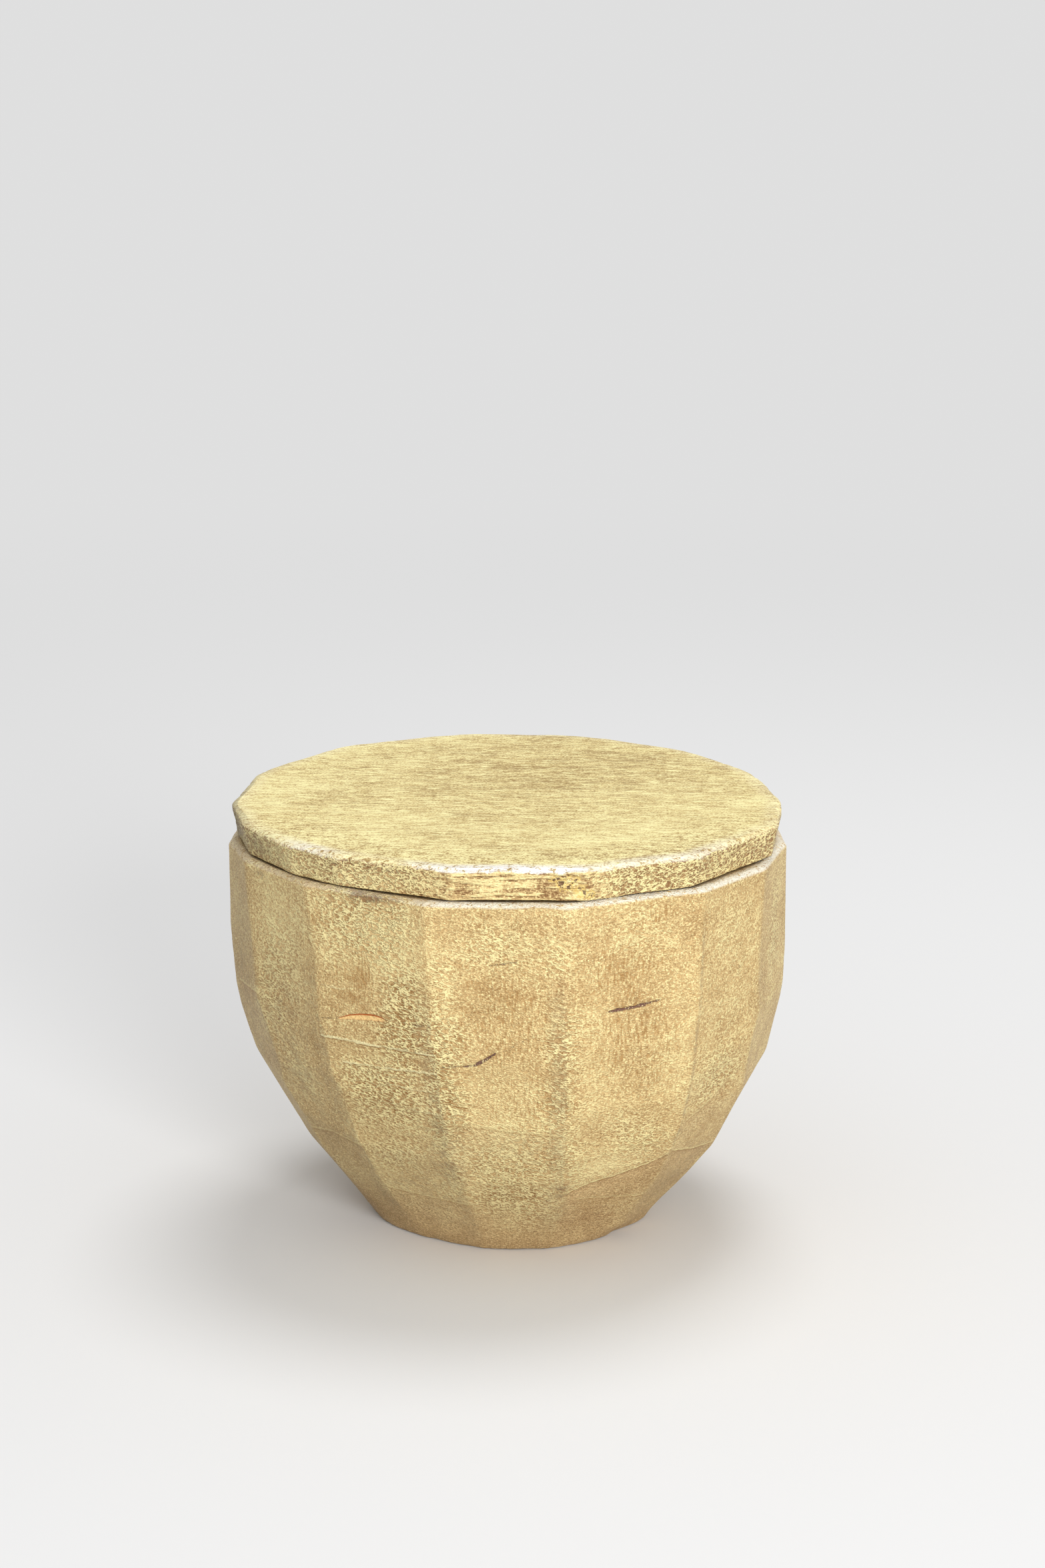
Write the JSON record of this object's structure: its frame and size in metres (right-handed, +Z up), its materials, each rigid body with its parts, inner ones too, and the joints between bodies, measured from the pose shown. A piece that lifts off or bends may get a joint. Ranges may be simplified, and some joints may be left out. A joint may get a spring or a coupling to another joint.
{
  "type": "lidded wooden pot",
  "caption": "Small hand-carved wooden pot, gold painted: a facet-sided round bowl on a small flat foot, hollowed inside, with a loose flat lid that drops into its mouth.",
  "frame": {"origin": "middle of the flat foot, on the surface that the pot stands on", "axes": "+Z up through the lid, -Y towards the viewer, +X to the viewer's right"},
  "size_m": [0.0978, 0.0988, 0.0755],
  "materials": {
    "bowl_gold_paint": "thin brushed gold paint over carved wood, satin, worn on the edges",
    "lid_gold_paint": "thin brushed gold paint over a wooden board, satin, grain showing"
  },
  "bodies": {
    "bowl": {"bowl": "bowl_gold_paint"},
    "lid": {"lid": "lid_gold_paint"}
  },
  "joints": [
    {"name": "lid_lift", "type": "slide", "parent": "bowl", "child": "lid", "axis": [0, 0, 1], "range_m": [0, 0.08]}
  ]
}
